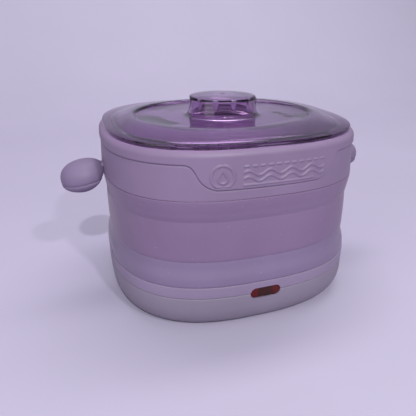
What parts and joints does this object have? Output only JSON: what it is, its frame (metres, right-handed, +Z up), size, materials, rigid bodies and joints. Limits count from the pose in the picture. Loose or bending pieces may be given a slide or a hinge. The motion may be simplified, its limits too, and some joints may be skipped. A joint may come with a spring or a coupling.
{
  "type": "wax warmer pot",
  "caption": "Collapsible electric wax pot: telescoping silicone wall between a heated base and a rigid collar with two side grips, under a clear ribbed-knob lid.",
  "frame": {"origin": "on the surface it stands on, under the middle of the base", "axes": "+Z up, -Y the front with the indicator lens, side grips on +X and -X"},
  "size_m": [0.2432, 0.1782, 0.1434],
  "materials": {
    "purple_plastic": "satin",
    "purple_silicone": "matte",
    "smoky_lid": "gloss",
    "foot_rubber": "matte",
    "steel": "satin",
    "pan_aluminium": "satin",
    "element_steel": "satin",
    "dark_plastic": "matte",
    "board_green": "satin",
    "red_lens": "gloss",
    "brass_pins": "satin",
    "wire_cover": "satin"
  },
  "bodies": {
    "base": {"base_lower_shell": "purple_plastic", "base_upper_ring": "purple_plastic", "rubber_feet": "foot_rubber", "shell_screws": "steel", "heating_pan": "pan_aluminium", "clamp_ring": "steel", "clamp_screws": "steel", "heating_element": "element_steel", "heat_shield": "steel", "shield_nut": "steel", "thermostat": "dark_plastic", "thermal_fuse": "steel", "control_board": "board_green", "board_components": "dark_plastic", "board_screws": "steel", "indicator_lens": "red_lens", "indicator_lamp": "red_lens", "dial_control": "dark_plastic", "inlet_housing": "dark_plastic", "inlet_pins": "brass_pins", "internal_wires": "wire_cover", "silicone_lower_band": "purple_silicone"},
    "dial": {"dial_shaft": "steel", "temperature_dial": "purple_plastic"},
    "mid_band": {"silicone_mid_band": "purple_silicone", "silicone_upper_web": "purple_silicone"},
    "collar": {"silicone_upper_band": "purple_silicone", "collar_ring": "purple_plastic", "left_grip_upper": "purple_plastic", "left_grip_lower": "purple_plastic", "right_grip_upper": "purple_plastic", "right_grip_lower": "purple_plastic", "grip_screws": "steel"},
    "lid": {"lid": "smoky_lid"}
  },
  "joints": [
    {"name": "wall_fold", "type": "slide", "parent": "base", "child": "mid_band", "axis": [0, 0, -1], "range_m": [0, 0.014], "deforming": ["silicone_lower_band"]},
    {"name": "collar_fold", "type": "slide", "parent": "mid_band", "child": "collar", "axis": [0, 0, -1], "range_m": [0, 0.028], "deforming": ["silicone_upper_web"]},
    {"name": "lid_lift", "type": "slide", "parent": "collar", "child": "lid", "axis": [0, 0, 1], "range_m": [0, 0.08]},
    {"name": "dial_turn", "type": "hinge", "parent": "base", "child": "dial", "pos_m": [0.024, 0.084, 0.0135], "axis": [0, 1, 0], "range_deg": [-135, 135]}
  ],
  "couplings": [
    {"joint": "collar_fold", "follows": "wall_fold", "ratio": 2}
  ]
}
